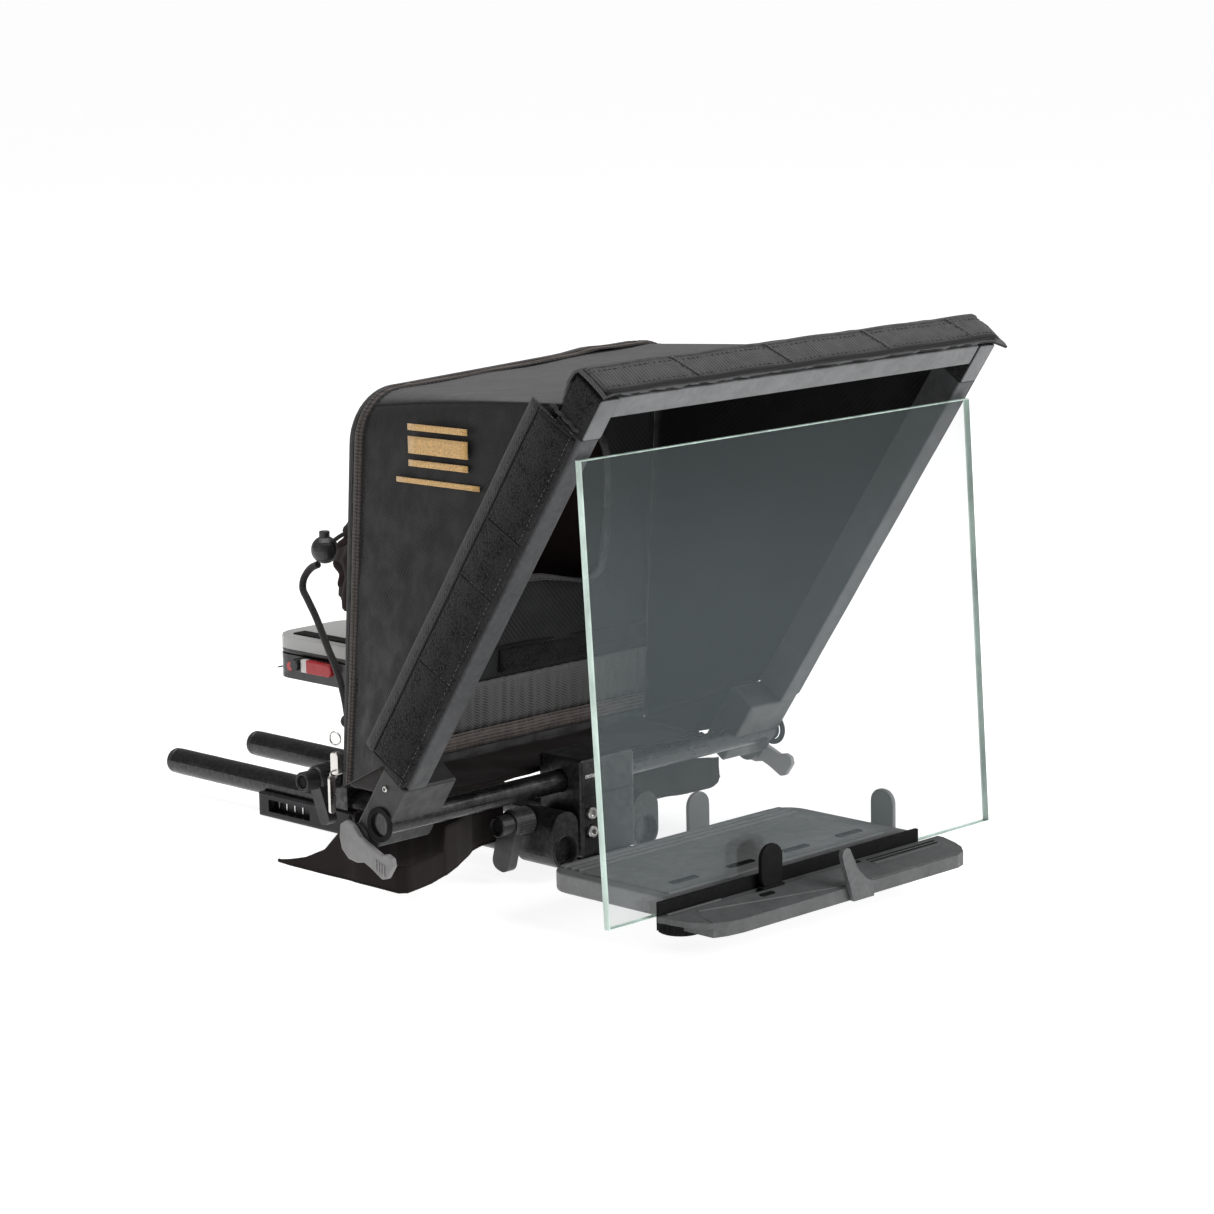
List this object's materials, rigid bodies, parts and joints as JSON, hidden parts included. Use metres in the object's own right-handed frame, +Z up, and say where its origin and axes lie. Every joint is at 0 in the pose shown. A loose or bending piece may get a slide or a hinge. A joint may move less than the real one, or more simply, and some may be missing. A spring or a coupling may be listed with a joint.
{
  "type": "teleprompter",
  "caption": "Rod-mounted teleprompter with a folding frame under a fabric hood, a beam-splitter glass standing on a tablet tray, a lens sleeve and a quick-release camera plate.",
  "frame": {"origin": "centre of the tripod face under the base plate", "axes": "+Z up, +Y towards the camera operator along the rods, -Y towards the person reading the glass, +X to the reader's right hand when they face the glass"},
  "size_m": [0.2992, 0.504, 0.2913],
  "materials": {
    "black_metal": "satin black anodised",
    "black_plastic": "matte black",
    "grey_plastic": "matte grey",
    "frame_grey": "satin grey paint",
    "tray_plastic": "fine textured grey",
    "hood_fabric": "black coated nylon twill",
    "strap_fabric": "black loop tape",
    "skirt_fabric": "brown-black soft cloth",
    "light_plastic": "light grey, satin",
    "red_plastic": "red, semi-gloss",
    "rubber": "black rubber",
    "steel": "bright",
    "brass": "satin",
    "glass": "half-silvered beam-splitter glass"
  },
  "bodies": {
    "base": {"base_plate": "black_metal", "tripod_bushing": "brass", "rod_saddle_left": "black_metal", "rod_saddle_right": "black_metal", "camera_riser": "black_metal", "adapter_base": "black_plastic"},
    "camera_plate": {"camera_plate": "light_plastic", "camera_screw": "steel"},
    "plate_lever": {"plate_lever": "red_plastic"},
    "lock_button": {"lock_button": "red_plastic"},
    "rear_lever": {"rear_lever": "black_plastic", "rear_lever_screw": "steel"},
    "rods": {"rod_left": "black_metal", "rod_right": "black_metal", "rod_plug_left": "black_plastic", "rod_plug_right": "black_plastic"},
    "rig": {"front_bracket": "black_metal", "front_clamp_left": "black_metal", "front_clamp_right": "black_metal", "bracket_screw": "steel", "cross_tube": "black_metal", "tray_arm": "black_metal", "rear_tray": "tray_plastic", "hood_rear": "hood_fabric", "hood_floor": "skirt_fabric", "lens_sleeve": "skirt_fabric", "skirt_left": "skirt_fabric", "skirt_right": "skirt_fabric", "cord_lock": "black_plastic", "drawcord": "skirt_fabric", "cord_knot": "skirt_fabric"},
    "front_lever": {"front_lever": "black_plastic", "front_lever_screw": "steel"},
    "tray_front": {"tray_tongue": "black_plastic", "front_tray": "tray_plastic"},
    "tray_knob": {"tray_knob": "rubber"},
    "finger_rear": {"finger_rear": "black_plastic"},
    "finger_side": {"finger_side": "black_plastic"},
    "finger_front_left": {"finger_front_left": "rubber"},
    "finger_front_right": {"finger_front_right": "tray_plastic"},
    "glass": {"glass": "glass"},
    "frame": {"frame_rail_left": "frame_grey", "frame_rail_right": "frame_grey", "frame_corner_left": "frame_grey", "frame_corner_right": "frame_grey", "frame_top_rail": "frame_grey", "pivot_bracket_left": "grey_plastic", "pivot_bracket_right": "grey_plastic", "tube_bush_left": "steel", "tube_bush_right": "steel", "strap_left": "strap_fabric", "strap_right": "strap_fabric", "hood_left": "hood_fabric", "hood_right": "hood_fabric", "hood_roof": "hood_fabric"},
    "clip_left": {"clip_left": "grey_plastic"},
    "clip_right": {"clip_right": "grey_plastic"},
    "zip_slider": {"zip_slider": "steel"},
    "zip_pull": {"zip_pull": "steel"},
    "cord_button": {"cord_lock_button": "black_plastic"}
  },
  "joints": [
    {"name": "rod_slide", "type": "slide", "parent": "base", "child": "rods", "axis": [0, 1, 0], "range_m": [-0.08, 0]},
    {"name": "bracket_slide", "type": "slide", "parent": "rods", "child": "rig", "axis": [0, 1, 0], "range_m": [0, 0.01]},
    {"name": "camera_plate_slide", "type": "slide", "parent": "base", "child": "camera_plate", "axis": [0, 1, 0], "range_m": [-0.02, 0.02]},
    {"name": "plate_lever_turn", "type": "hinge", "parent": "base", "child": "plate_lever", "pos_m": [-0.03185, 0.0265, 0.0898], "axis": [0, 0, -1], "range_deg": [0, 90]},
    {"name": "lock_button_press", "type": "slide", "parent": "base", "child": "lock_button", "axis": [1, 0, 0], "range_m": [0, 0.002], "stiffness_N_per_m": 300},
    {"name": "rear_lever_turn", "type": "hinge", "parent": "base", "child": "rear_lever", "pos_m": [-0.05, -0.012, 0.033], "axis": [1, 0, 0], "range_deg": [-45, 90]},
    {"name": "front_lever_turn", "type": "hinge", "parent": "rig", "child": "front_lever", "pos_m": [-0.05, -0.169, 0.033], "axis": [1, 0, 0], "range_deg": [-90, 0]},
    {"name": "tray_slide", "type": "slide", "parent": "rig", "child": "tray_front", "axis": [0, -1, 0], "range_m": [0, 0.045]},
    {"name": "tray_knob_turn", "type": "hinge", "parent": "rig", "child": "tray_knob", "pos_m": [-0.076, -0.315, 0.011], "axis": [0, 0, 1], "continuous": true},
    {"name": "finger_rear_slide", "type": "slide", "parent": "rig", "child": "finger_rear", "axis": [1, 0, 0], "range_m": [-0.02, 0.02]},
    {"name": "finger_side_slide", "type": "slide", "parent": "rig", "child": "finger_side", "axis": [0, 1, 0], "range_m": [-0.012, 0.04]},
    {"name": "finger_front_left_slide", "type": "slide", "parent": "tray_front", "child": "finger_front_left", "axis": [1, 0, 0], "range_m": [-0.02, 0.02]},
    {"name": "finger_front_right_slide", "type": "slide", "parent": "tray_front", "child": "finger_front_right", "axis": [1, 0, 0], "range_m": [-0.02, 0.02]},
    {"name": "glass_slide", "type": "slide", "parent": "rig", "child": "glass", "axis": [-1, 0, 0], "range_m": [0, 0.3]},
    {"name": "frame_tilt", "type": "hinge", "parent": "rig", "child": "frame", "pos_m": [0, -0.173, 0.051], "axis": [-1, 0, 0], "range_deg": [0, 40], "deforming": ["hood_left", "hood_right", "hood_roof"]},
    {"name": "clip_left_turn", "type": "hinge", "parent": "frame", "child": "clip_left", "pos_m": [-0.148, -0.156, 0.04], "axis": [1, 0, 0], "range_deg": [-60, 90]},
    {"name": "clip_right_turn", "type": "hinge", "parent": "frame", "child": "clip_right", "pos_m": [0.148, -0.156, 0.04], "axis": [1, 0, 0], "range_deg": [-60, 90]},
    {"name": "zip_slide", "type": "slide", "parent": "rig", "child": "zip_slider", "axis": [0, -0.0767, 0.9971], "range_m": [0, 0.18]},
    {"name": "zip_pull_swing", "type": "hinge", "parent": "zip_slider", "child": "zip_pull", "pos_m": [-0.119, -0.105, 0.0605], "axis": [1, 0, 0], "range_deg": [-60, 60]},
    {"name": "cord_button_press", "type": "slide", "parent": "rig", "child": "cord_button", "axis": [0, 0, -1], "range_m": [0, 0.003], "stiffness_N_per_m": 300}
  ]
}
